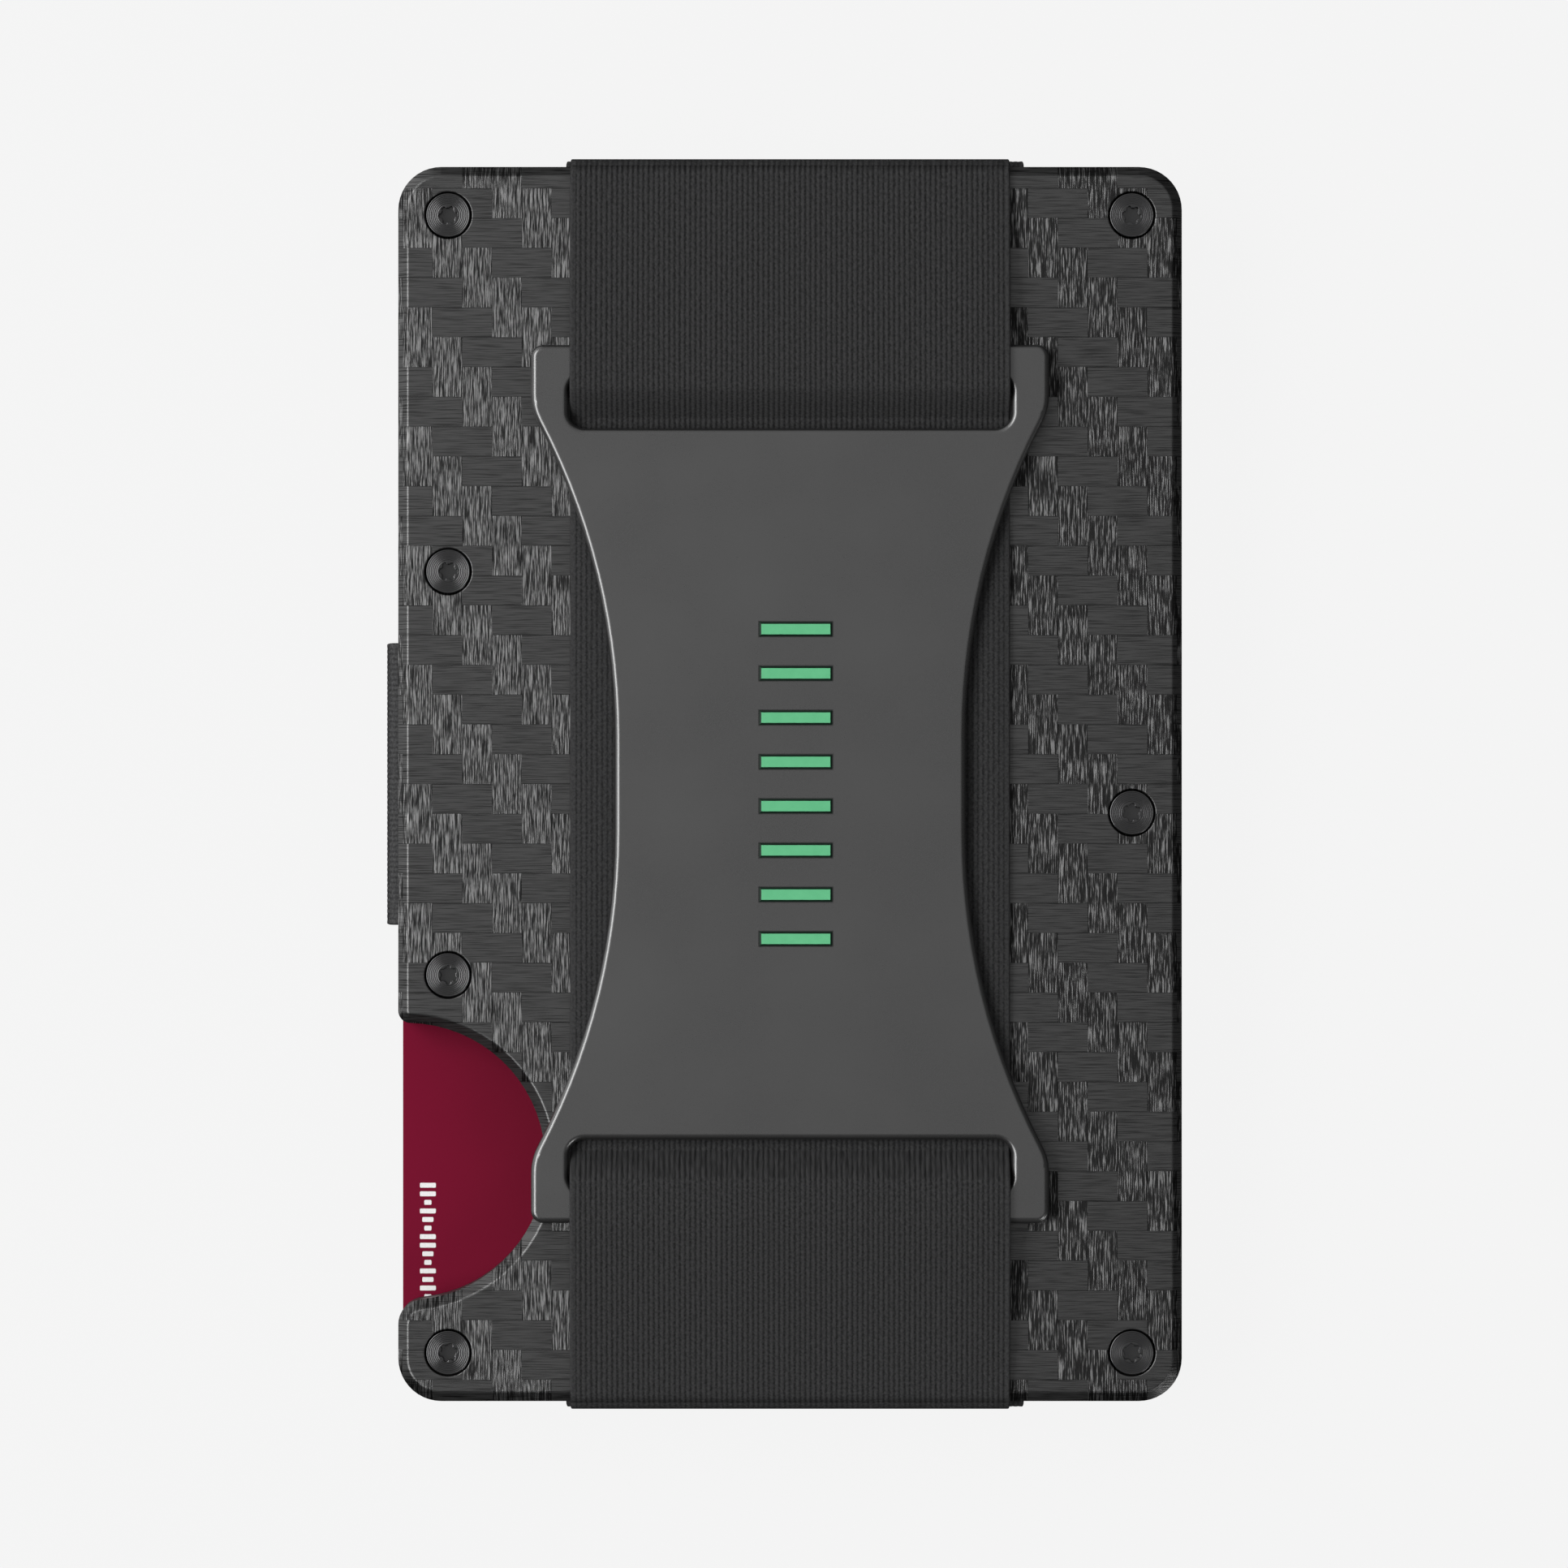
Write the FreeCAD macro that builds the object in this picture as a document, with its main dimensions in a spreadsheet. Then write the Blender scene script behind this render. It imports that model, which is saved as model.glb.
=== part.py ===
import FreeCAD, Part

import math
import os

import Sketcher
from FreeCAD import Placement, Rotation, Vector

# Minimalist card wallet: two rigid halves held together by elastic bands, with a cash strap.
# Frame: origin at the centre of the back cover's outer face, +Z out through the front,
# +Y along the length, +X towards the open long side where the cards slide out.
# The driving dimensions, in millimetres.
DIMENSIONS = (
    ("plate_half_width", 27.3),
    ("plate_half_length", 43.0),
    ("plate_corner_radius", 3.0),
    ("plate_edge_chamfer", 0.65),
    ("plate_edge_rounding", 0.28),
    ("cover_thickness", 1.5),
    ("back_spacer_thickness", 0.8),
    ("front_spacer_thickness", 1.35),
    ("liner_thickness", 0.75),
    ("liner_lead_in", 0.3),
    ("channel_left", 15.95),
    ("channel_right", 16.65),
    ("channel_end_relief", 0.3),
    ("side_channel_half_width", 10.15),
    ("notch_from_left_edge", 0.6),
    ("notch_below_middle", 26.3),
    ("notch_radius", 9.65),
    ("notch_upper_rounding", 0.85),
    ("notch_lower_rounding", 1.75),
    ("screw_column", 23.8),
    ("screw_end_row", 39.6),
    ("screw_above_side_band", 14.8),
    ("screw_below_side_band", 13.3),
    ("screw_right_middle", 2.0),
    ("screw_head_diameter", 2.98),
    ("screw_head_ring_gap", 0.14),
    ("screw_head_land", 0.45),
    ("screw_hole_rounding", 0.1),
    ("screw_shank_diameter", 2.0),
    ("screw_end_gap", 0.05),
    ("screw_hole_diameter", 2.2),
    ("tapped_hole_diameter", 2.04),
    ("recess_lobes", 6),
    ("recess_core_radius", 0.5),
    ("recess_lobe_radius", 0.16),
    ("recess_depth", 0.6),
    ("card_half_length", 42.8),
    ("card_half_width", 26.99),
    ("card_left_shift", 0.11),
    ("card_corner_radius", 3.18),
    ("card_thickness", 0.76),
    ("card_gap", 0.05),
    ("band_thickness", 0.7),
    ("band_gap", 0.05),
    ("band_bend_radius", 0.5),
    ("end_band_half_width", 16.0),
    ("end_band_shift", 0.35),
    ("end_band_stand_out", 0.55),
    ("side_band_half_width", 9.85),
    ("side_band_stand_out", 0.88),
    ("anchor_width", 1.3),
    ("anchor_half_length", 11.2),
    ("anchor_channel_gap", 0.05),
    ("strap_thickness", 0.5),
    ("strap_half_width", 15.3),
    ("strap_gap", 0.05),
    ("strap_end_bend_radius", 0.3),
    ("strap_bend_radius", 0.6),
    ("strap_slot_corner_relief", 0.75),
    ("buckle_half_width", 18.0),
    ("buckle_half_length", 30.5),
    ("buckle_thickness", 1.0),
    ("buckle_corner_radius", 0.85),
    ("buckle_waist_half_width", 12.2),
    ("buckle_waist_half_length", 3.3),
    ("buckle_side_radius", 47.4),
    ("buckle_ear_blend_radius", 4.0),
    ("buckle_edge_radius", 0.4),
    ("buckle_slot_half_width", 15.4),
    ("buckle_slot_inner", 24.7),
    ("buckle_slot_outer", 28.35),
    ("buckle_slot_corner_radius", 1.15),
    ("inlay_count", 8),
    ("inlay_half_width", 2.535),
    ("inlay_half_height", 0.5),
    ("inlay_column_half_length", 11.25),
    ("inlay_shift", 0.4),
    ("inlay_recess_depth", 0.3),
    ("inlay_clearance", 0.07),
    ("inlay_stand_out", 0.12),
    ("inlay_bevel", 0.14),
)
# Degrees by which each tightened screw happens to be turned.
SCREW_TURNS = (5, 50, 22, 38, 12, 31, 57)
TOLERANCE = 1e-4

doc = FreeCAD.newDocument("MinimalistWallet")
sheet = doc.addObject("Spreadsheet::Sheet", "Dimensions")
for row, (alias, length) in enumerate(DIMENSIONS, start=1):
    sheet.set(f"A{row}", alias)
    sheet.set(f"B{row}", str(length))
    sheet.setAlias(f"B{row}", alias)
doc.recompute()

sub_parts = []


class Size:
    """A length that carries its formula on the sheet, so that sums of sizes stay bound to it."""

    def __init__(self, value, formula):
        self.value = value
        self.formula = formula

    def __add__(self, other):
        return Size(self.value + other.value, f"({self.formula} + {other.formula})")

    def __sub__(self, other):
        return Size(self.value - other.value, f"({self.formula} - {other.formula})")

    def __neg__(self):
        return Size(-self.value, f"(-1 * {self.formula})")

    def __mul__(self, factor):
        return Size(self.value * factor, f"({self.formula} * {factor})")


ZERO = Size(0.0, "0")


def size(alias):
    return Size(sheet.get(alias), f"Dimensions.{alias}")


def total(*aliases):
    """The sum of several dimensions."""
    result = size(aliases[0])
    for alias in aliases[1:]:
        result = result + size(alias)
    return result


def bind(feature, path, length):
    """Set a property from the sheet."""
    feature.setExpression(path, length.formula)


# --- sketches ---------------------------------------------------------------------------------

def origin_feature(body, role):
    return next(item for item in body.Origin.OriginFeatures if item.Role == role)


def add_sketch(body, name, height=None, plane="XY_Plane"):
    """A sketch on one of the body's own origin planes, lifted to a height."""
    sketch = body.newObject("Sketcher::SketchObject", f"{body.Label}_{name}")
    sketch.AttachmentSupport = (origin_feature(body, plane), [""])
    sketch.MapMode = "FlatFace"
    if height is not None:
        bind(sketch, "AttachmentOffset.Base.z", height)
    return sketch


def pin_coordinate(sketch, kind, geometry, point, position):
    """Hold one coordinate of a sketch point at a distance from the sketch's origin."""
    if position.value == 0:
        axis = -2 if kind == "DistanceX" else -1
        sketch.addConstraint(Sketcher.Constraint("PointOnObject", geometry, point, axis))
        return
    ends = (-1, 1, geometry, point) if position.value > 0 else (geometry, point, -1, 1)
    distance = position if position.value > 0 else -position
    index = sketch.addConstraint(Sketcher.Constraint(kind, *ends, distance.value))
    bind(sketch, f"Constraints[{index}]", distance)


def pin_point(sketch, geometry, point, x, y):
    pin_coordinate(sketch, "DistanceX", geometry, point, x)
    pin_coordinate(sketch, "DistanceY", geometry, point, y)


def draw_outline(sketch, corners):
    """A closed outline of straight sides through the given corners."""
    points = [Vector(x.value, y.value, 0) for x, y in corners]
    lines = []
    for start, end in zip(points, points[1:] + points[:1]):
        lines.append(sketch.addGeometry(Part.LineSegment(start, end), False))
    for line, following in zip(lines, lines[1:] + lines[:1]):
        sketch.addConstraint(Sketcher.Constraint("Coincident", line, 2, following, 1))
    for line, (x, y) in zip(lines, corners):
        pin_point(sketch, line, 1, x, y)


def draw_rectangle(sketch, left, right, bottom, top):
    draw_outline(sketch, ((left, bottom), (right, bottom), (right, top), (left, top)))


def pin_radius(sketch, geometry, radius):
    index = sketch.addConstraint(Sketcher.Constraint("Radius", geometry, radius.value))
    bind(sketch, f"Constraints[{index}]", radius)


def draw_circle(sketch, x, y, radius):
    circle = Part.Circle(Vector(x.value, y.value, 0), Vector(0, 0, 1), radius.value)
    geometry = sketch.addGeometry(circle, False)
    pin_point(sketch, geometry, 3, x, y)
    pin_radius(sketch, geometry, radius)


# --- features ---------------------------------------------------------------------------------

def new_body(label, is_sub_part=True):
    body = doc.addObject("PartDesign::Body", label)
    body.Label = label
    if is_sub_part:
        sub_parts.append(body)
    return body


def pad(body, sketch, thickness):
    feature = body.newObject("PartDesign::Pad", f"{body.Label}_pad")
    feature.Profile = sketch
    bind(feature, "Length", thickness)
    doc.recompute()
    return feature


def pocket(body, sketch, name, depth=None):
    """Cut a sketch downwards, to a depth or right through the body both ways."""
    volume_before = body.Shape.Volume
    feature = body.newObject("PartDesign::Pocket", f"{body.Label}_{name}")
    feature.Profile = sketch
    if depth is None:
        feature.Type = "ThroughAll"
        feature.Midplane = True
    else:
        bind(feature, "Length", depth)
    doc.recompute()
    if body.Shape.Volume > volume_before - TOLERANCE:
        raise RuntimeError(f"{feature.Name} cuts nothing")
    return feature


def dress(body, kind, base, edges, name, length):
    """A fillet or chamfer of one size along the named edges."""
    feature = body.newObject(f"PartDesign::{kind}", f"{body.Label}_{name}")
    feature.Base = (base, edges)
    bind(feature, "Radius" if kind == "Fillet" else "Size", length)
    doc.recompute()
    return feature


def edge_names(shape, wanted):
    return [f"Edge{i}" for i, edge in enumerate(shape.Edges, start=1) if wanted(edge)]


def upright_edges(shape, corners):
    """The vertical straight edges that stand at the given places."""
    def stands_at_a_corner(edge):
        middle = edge.BoundBox.Center
        upright = edge.BoundBox.XLength + edge.BoundBox.YLength < TOLERANCE
        near = [abs(middle.x - x) + abs(middle.y - y) < 0.05 for x, y in corners]
        return upright and any(near)
    return edge_names(shape, stands_at_a_corner)


def edges_at_height(shape, height, closed=False):
    """The level edges at a height: the open ones of an outline, or the closed ones round holes."""
    def lies_at_height(edge):
        box = edge.BoundBox
        level = abs(box.ZMin - height) + abs(box.ZMax - height) < TOLERANCE
        return level and edge.isClosed() == closed
    return edge_names(shape, lies_at_height)


def round_corners(body, feature, corners, radius, name="corners"):
    edges = upright_edges(feature.Shape, corners)
    return dress(body, "Fillet", feature, edges, name, radius)


# --- what the plates share ----------------------------------------------------------------------

half_width = size("plate_half_width")
half_length = size("plate_half_length")
plate_corners = {
    "left": [(-half_width.value, half_length.value), (-half_width.value, -half_length.value)],
    "right": [(half_width.value, half_length.value), (half_width.value, -half_length.value)],
}
notch_x = size("notch_from_left_edge") - half_width
notch_y = -size("notch_below_middle")

column = size("screw_column")
end_row = size("screw_end_row")
right_screws = [(column, end_row), (column, -size("screw_right_middle")), (column, -end_row)]
upper_screws = [(-column, end_row), (-column, size("screw_above_side_band"))]
lower_screws = [(-column, -size("screw_below_side_band")), (-column, -end_row)]
all_screws = right_screws + upper_screws + lower_screws

# Heights of the layers, from the back cover's outer face up.
layer_heights = {}
running_height = ZERO
card_layer = total("card_thickness", "card_gap")
for layer, thickness in (
    ("back_cover", size("cover_thickness")),
    ("back_spacers", size("back_spacer_thickness")),
    ("back_liner", size("liner_thickness")),
    ("card_gap", size("card_gap")),
    ("card_bottom", card_layer),
    ("card_middle", card_layer),
    ("card_top", card_layer),
    ("front_liner", size("liner_thickness")),
    ("front_spacers", size("front_spacer_thickness")),
    ("front_cover", size("cover_thickness")),
    ("strap_gap", size("strap_gap")),
    ("strap", total("strap_thickness", "strap_gap")),
    ("buckle", size("buckle_thickness")),
    ("buckle_top", size("strap_gap")),
):
    layer_heights[layer] = running_height
    running_height = running_height + thickness


def cut_notch(body, feature):
    """The half-round thumb notch in the left edge, with its two rounded corners."""
    sketch = add_sketch(body, "notch_circle", layer_heights["front_cover"])
    draw_circle(sketch, notch_x, notch_y, size("notch_radius"))
    feature = pocket(body, sketch, "notch")
    reach = math.sqrt(size("notch_radius").value ** 2 - size("notch_from_left_edge").value ** 2)
    for side, radius in ((1, "notch_upper_rounding"), (-1, "notch_lower_rounding")):
        corner = (-half_width.value, notch_y.value + side * reach)
        feature = round_corners(body, feature, [corner], size(radius), radius)
    return feature


def drill(body, height, places, diameter, downwards=True, countersink=None):
    """Round holes right through a plate, with a countersink at the sketch's side if one is given."""
    volume_before = body.Shape.Volume
    sketch = add_sketch(body, "hole_centres", height)
    for x, y in places:
        draw_circle(sketch, x, y, diameter * 0.5)
    doc.recompute()
    hole = body.newObject("PartDesign::Hole", f"{body.Label}_holes")
    hole.Profile = sketch
    doc.recompute()
    hole.DepthType = "ThroughAll"
    hole.Reversed = not downwards
    bind(hole, "Diameter", diameter)
    if countersink is not None:
        hole.HoleCutType = "Countersink"
        hole.HoleCutCustomValues = True
        bind(hole, "HoleCutDiameter", countersink)
        hole.HoleCutCountersinkAngle = 90
    doc.recompute()
    if body.Shape.Volume > volume_before - TOLERANCE:
        raise RuntimeError(f"{hole.Name} drills nothing")
    return hole


# --- covers, spacers and liners -----------------------------------------------------------------

def make_cover(label, outer_face_up):
    """Outer plate: rounded rectangle, notch, softened bevel and seven countersunk screw holes,
    each with a straight land that takes the screw head's rim."""
    body = new_body(label)
    base = layer_heights[label]
    top = base + size("cover_thickness")
    outer = top if outer_face_up else base
    sketch = add_sketch(body, "outline", base)
    draw_rectangle(sketch, -half_width, half_width, -half_length, half_length)
    feature = pad(body, sketch, size("cover_thickness"))
    corners = plate_corners["left"] + plate_corners["right"]
    feature = round_corners(body, feature, corners, size("plate_corner_radius"))
    feature = cut_notch(body, feature)
    edges = edges_at_height(feature.Shape, outer.value)
    feature = dress(body, "Chamfer", feature, edges, "bevel", size("plate_edge_chamfer"))
    edges = edges_at_height(feature.Shape, outer.value)
    dress(body, "Fillet", feature, edges, "bevel_rounding", size("plate_edge_rounding"))
    ring = size("screw_head_diameter") + size("screw_head_ring_gap") * 2
    land = size("screw_head_land")
    land_floor = outer - land if outer_face_up else outer + land
    sketch = add_sketch(body, "screw_heads", outer if outer_face_up else land_floor)
    for x, y in all_screws:
        draw_circle(sketch, x, y, ring * 0.5)
    pocket(body, sketch, "head_lands", land)
    feature = drill(body, land_floor, all_screws, size("screw_hole_diameter"), outer_face_up, ring)
    rims = edges_at_height(feature.Shape, outer.value, closed=True)
    dress(body, "Fillet", feature, rims, "hole_rounding", size("screw_hole_rounding"))


def make_right_spacer(label, base, thickness):
    body = new_body(label)
    sketch = add_sketch(body, "outline", base)
    draw_rectangle(sketch, size("channel_right"), half_width, -half_length, half_length)
    feature = pad(body, sketch, thickness)
    radius = size("plate_corner_radius")
    round_corners(body, feature, plate_corners["right"], radius)
    drill(body, base + thickness, right_screws, size("screw_hole_diameter"))


def make_left_spacer(label, base, thickness, upper):
    """Left spacer above or below the side band, with a pocket for one end of the band's anchor."""
    body = new_body(label)
    side = 1 if upper else -1
    channel = size("side_channel_half_width") * side
    pocket_end = total("anchor_half_length", "anchor_channel_gap") * side
    inner = -size("channel_left")
    pocket_wall = inner - total("anchor_width", "anchor_channel_gap", "anchor_channel_gap")
    sketch = add_sketch(body, "outline", base)
    draw_outline(sketch, (
        (-half_width, channel),
        (pocket_wall, channel),
        (pocket_wall, pocket_end),
        (inner, pocket_end),
        (inner, half_length * side),
        (-half_width, half_length * side),
    ))
    feature = pad(body, sketch, thickness)
    corner = [(-half_width.value, half_length.value * side)]
    feature = round_corners(body, feature, corner, size("plate_corner_radius"))
    if not upper:
        cut_notch(body, feature)
    places = upper_screws if upper else lower_screws
    drill(body, base + thickness, places, size("screw_hole_diameter"))


def make_liner(label, card_side_up):
    """Inner plate: tapped for the screws, shorter where the end band turns round its ends."""
    body = new_body(label)
    base = layer_heights[label]
    thickness = size("liner_thickness")
    short = half_length - size("channel_end_relief")
    left = -size("channel_left")
    right = size("channel_right")
    sketch = add_sketch(body, "outline", base)
    draw_outline(sketch, (
        (-half_width, -half_length), (left, -half_length), (left, -short),
        (right, -short), (right, -half_length), (half_width, -half_length),
        (half_width, half_length), (right, half_length), (right, short),
        (left, short), (left, half_length), (-half_width, half_length),
    ))
    feature = pad(body, sketch, thickness)
    corners = plate_corners["left"] + plate_corners["right"]
    feature = round_corners(body, feature, corners, size("plate_corner_radius"))
    feature = cut_notch(body, feature)
    card_face = base + thickness if card_side_up else base

    def is_card_mouth(edge):
        box = edge.BoundBox
        at_face = abs(box.Center.z - card_face.value) + box.ZLength < TOLERANCE
        return at_face and box.XMin > half_width.value - 0.01 and box.YLength > half_length.value

    edges = edge_names(feature.Shape, is_card_mouth)
    dress(body, "Chamfer", feature, edges, "lead_in", size("liner_lead_in"))
    drill(body, base + thickness, all_screws, size("tapped_hole_diameter"))


def make_anchor(label, base, spacer_thickness):
    """Flat bar at the inner end of the side band; its ends hook behind the left spacers."""
    body = new_body(label)
    gap = size("anchor_channel_gap")
    right = -total("channel_left", "anchor_channel_gap")
    sketch = add_sketch(body, "outline", base + gap * 0.5)
    reach = size("anchor_half_length")
    draw_rectangle(sketch, right - size("anchor_width"), right, -reach, reach)
    pad(body, sketch, spacer_thickness - gap)


# --- screws ---------------------------------------------------------------------------------------

def make_screw_blank(label, length):
    """One countersunk screw with a lobed recess: head up at the origin, shank down."""
    body = new_body(label, is_sub_part=False)
    land = size("screw_head_land")
    head_radius = size("screw_head_diameter") * 0.5
    shank_radius = size("screw_shank_diameter") * 0.5
    profile = add_sketch(body, "profile", plane="XZ_Plane")
    draw_outline(profile, (
        (ZERO, ZERO),
        (head_radius, ZERO),
        (head_radius, -land),
        (shank_radius, shank_radius - head_radius - land),
        (shank_radius, -length),
        (ZERO, -length),
    ))
    turning = body.newObject("PartDesign::Revolution", f"{label}_turning")
    turning.Profile = profile
    turning.ReferenceAxis = (profile, ["V_Axis"])
    turning.Angle = 360
    doc.recompute()
    core = add_sketch(body, "core")
    draw_circle(core, ZERO, ZERO, size("recess_core_radius"))
    pocket(body, core, "recess", size("recess_depth"))
    lobe = add_sketch(body, "lobe")
    draw_circle(lobe, size("recess_core_radius"), ZERO, size("recess_lobe_radius"))
    lobe_cut = pocket(body, lobe, "lobe_cut", size("recess_depth"))
    pattern = body.newObject("PartDesign::PolarPattern", f"{label}_lobes")
    pattern.Originals = [lobe_cut]
    pattern.Axis = (lobe, ["N_Axis"])
    pattern.Angle = 360
    bind(pattern, "Occurrences", size("recess_lobes"))
    body.Tip = pattern
    doc.recompute()
    return body


def make_copies(label, blank, placements):
    """One node of several separate solids, each a copy of the blank."""
    solids = []
    for placement in placements:
        solid = blank.Shape.Solids[0].copy()
        solid.Placement = placement.multiply(solid.Placement)
        solids.append(solid)
    feature = doc.addObject("Part::Feature", label)
    feature.Label = label
    feature.Shape = Part.makeCompound(solids)
    feature.Placement = Placement()
    sub_parts.append(feature)


def make_screws(label, spacer_thickness, outer_height, face_up):
    """The seven screws of one half, from flush with its cover to just short of the cards."""
    length = total("cover_thickness", "liner_thickness") + spacer_thickness
    blank = make_screw_blank(f"{label}_blank", length - size("screw_end_gap"))
    facing = Rotation(Vector(1, 0, 0), 0 if face_up else 180)
    placements = []
    for (x, y), degrees in zip(all_screws, SCREW_TURNS):
        place = Vector(x.value, y.value, outer_height.value)
        turn = Rotation(Vector(0, 0, 1), degrees)
        placements.append(Placement(place, facing.multiply(turn)))
    make_copies(label, blank, placements)


# --- elastic bands --------------------------------------------------------------------------------

def side_edges(points, radii, shift, closed):
    """The edges of a line of straight runs and tangent bends, moved sideways by a shift."""
    count = len(points)
    stations = []
    for i, (point, radius) in enumerate(zip(points, radii)):
        if not closed and i in (0, count - 1):
            along = (points[1] - point if i == 0 else point - points[-2]).normalize()
            stations.append([point + Vector(-along.y, along.x, 0) * shift])
            continue
        before = (point - points[i - 1]).normalize()
        after = (points[(i + 1) % count] - point).normalize()
        half_turn = before.getAngle(after) / 2
        tangent = radius * math.tan(half_turn)
        middle_normal = Vector(-before.y - after.y, before.x + after.x, 0).normalize()
        towards_centre = (after - before).normalize()
        depth = radius / math.cos(half_turn) - radius
        stations.append([
            point - before * tangent + Vector(-before.y, before.x, 0) * shift,
            point + towards_centre * depth + middle_normal * shift,
            point + after * tangent + Vector(-after.y, after.x, 0) * shift,
        ])
    edges = []
    for i, station in enumerate(stations):
        if len(station) == 3:
            edges.append(Part.Arc(*station).toShape())
        if closed or i < count - 1:
            edges.append(Part.makeLine(station[-1], stations[(i + 1) % count][0]))
    return edges


def make_band(label, points, radii, thickness, turn, shift, half_width_of_band, closed=True):
    """A flat band of one thickness along a line of runs and bends, as wide as the band."""
    half_thickness = thickness / 2
    sides = [side_edges(points, radii, s * half_thickness, closed) for s in (1, -1)]
    if closed:
        faces = [Part.Face(Part.Wire(Part.sortEdges(edges)[0])) for edges in sides]
        faces.sort(key=lambda face: face.Area)
        face = faces[1].cut(faces[0])
    else:
        starts = [edges[0].Vertexes[0].Point for edges in sides]
        ends = [edges[-1].Vertexes[-1].Point for edges in sides]
        caps = [Part.makeLine(*starts), Part.makeLine(*ends)]
        face = Part.Face(Part.Wire(Part.sortEdges(sides[0] + sides[1] + caps)[0]))
    solid = face.extrude(Vector(0, 0, 2 * half_width_of_band)).Solids[0]
    solid.Placement = Placement(Vector(), turn).multiply(
        Placement(Vector(0, 0, shift - half_width_of_band), Rotation()))
    feature = doc.addObject("Part::Feature", label)
    feature.Label = label
    feature.Shape = solid
    feature.Placement = solid.Placement
    sub_parts.append(feature)


# Turns that lay a drawing of (length, height) into the YZ plane and into the XZ plane.
ACROSS_X = Rotation(Vector(0, 1, 0), Vector(0, 0, 1), Vector(1, 0, 0))
ACROSS_Y = Rotation(Vector(1, 0, 0), Vector(0, 0, 1), Vector(0, -1, 0))


def band_heights():
    """Mid-thickness heights of the bands in the back and front channels."""
    half = size("band_thickness").value / 2
    gap = size("band_gap").value
    back = layer_heights["back_spacers"].value + gap + half
    front = layer_heights["front_spacers"].value + gap + half
    return back, front


def make_end_band():
    """Closed elastic loop round both halves, over the two short ends."""
    back, front = band_heights()
    reach = total("plate_half_length", "end_band_stand_out").value
    reach -= size("band_thickness").value / 2
    points = [Vector(-reach, back), Vector(reach, back), Vector(reach, front), Vector(-reach, front)]
    radii = [size("band_bend_radius").value] * 4
    make_band("end_band", points, radii, size("band_thickness").value, ACROSS_X,
              size("end_band_shift").value, size("end_band_half_width").value)


def make_side_band():
    """Open elastic band round the left side, from the back anchor to the front anchor."""
    back, front = band_heights()
    reach = total("plate_half_width", "side_band_stand_out").value
    reach -= size("band_thickness").value / 2
    end = total("channel_left", "anchor_width", "anchor_channel_gap", "band_gap").value
    points = [Vector(-end, back), Vector(-reach, back), Vector(-reach, front), Vector(-end, front)]
    radii = [size("band_bend_radius").value] * 4
    make_band("side_band", points, radii, size("band_thickness").value, ACROSS_Y,
              0, size("side_band_half_width").value, closed=False)


def crossing(point, direction, other_point, other_direction):
    """Where two lines in one plane cross."""
    gap = other_point - point
    scale = gap.cross(other_direction).z / direction.cross(other_direction).z
    return point + direction * scale


def make_cash_strap():
    """Closed elastic loop round the front cover, threaded over the buckle's two end bars."""
    thickness = size("strap_thickness").value
    offset = thickness / 2 + size("strap_gap").value
    cover_base = layer_heights["front_cover"].value
    cover_top = layer_heights["strap_gap"].value
    buckle_base = layer_heights["buckle"].value
    buckle_top = layer_heights["buckle_top"].value
    bevel = size("plate_edge_chamfer").value
    end = half_length.value
    level = Vector(1, 0)
    upright = Vector(0, 1)

    corner_out = Vector(end, cover_top - bevel)
    corner_in = Vector(end - bevel, cover_top)
    bevel_direction = (corner_in - corner_out).normalize()
    bevel_line = corner_out + Vector(1, 1).normalize() * offset

    bar_outer = Vector(size("buckle_half_length").value, buckle_top)
    ramp = (bar_outer - corner_in).normalize()
    ramp_line = corner_in + Vector(ramp.y, -ramp.x) * offset

    # The strap is nearly as wide as the slot, so it dives clear of the slot's rounded corners.
    relief = size("strap_slot_corner_relief").value
    bar_inner = Vector(size("buckle_slot_outer").value - relief, buckle_top)
    plate_edge = Vector(size("buckle_slot_inner").value + relief, buckle_base)
    span = plate_edge - bar_inner
    steepness = math.atan2(-span.y, -span.x) + math.asin(2 * offset / span.Length)
    dive = Vector(-math.cos(steepness), -math.sin(steepness))
    dive_line = bar_inner + Vector(dive.y, -dive.x) * offset

    run_below = Vector(0, cover_base - offset)
    run_over_bar = Vector(0, buckle_top + offset)
    run_under_plate = Vector(0, buckle_base - offset)
    wrap = Vector(end + offset, 0)

    half_loop = [
        crossing(wrap, upright, run_below, level),
        crossing(wrap, upright, bevel_line, bevel_direction),
        crossing(bevel_line, bevel_direction, ramp_line, ramp),
        crossing(ramp_line, ramp, run_over_bar, level),
        crossing(run_over_bar, level, dive_line, dive),
        crossing(dive_line, dive, run_under_plate, level),
    ]
    other_half = [Vector(-point.x, point.y) for point in reversed(half_loop)]
    bend = size("strap_bend_radius").value
    half_radii = [size("strap_end_bend_radius").value] + [bend] * 5
    make_band("cash_strap", half_loop + other_half, half_radii + half_radii[::-1], thickness,
              ACROSS_X, 0, size("strap_half_width").value)


# --- buckle ---------------------------------------------------------------------------------------

def buckle_ear_start():
    """How far from the middle each waisted side reaches the full width of the buckle."""
    radius = size("buckle_side_radius").value
    run = radius - (size("buckle_half_width") - size("buckle_waist_half_width")).value
    return size("buckle_waist_half_length").value + math.sqrt(radius ** 2 - run ** 2)


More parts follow.
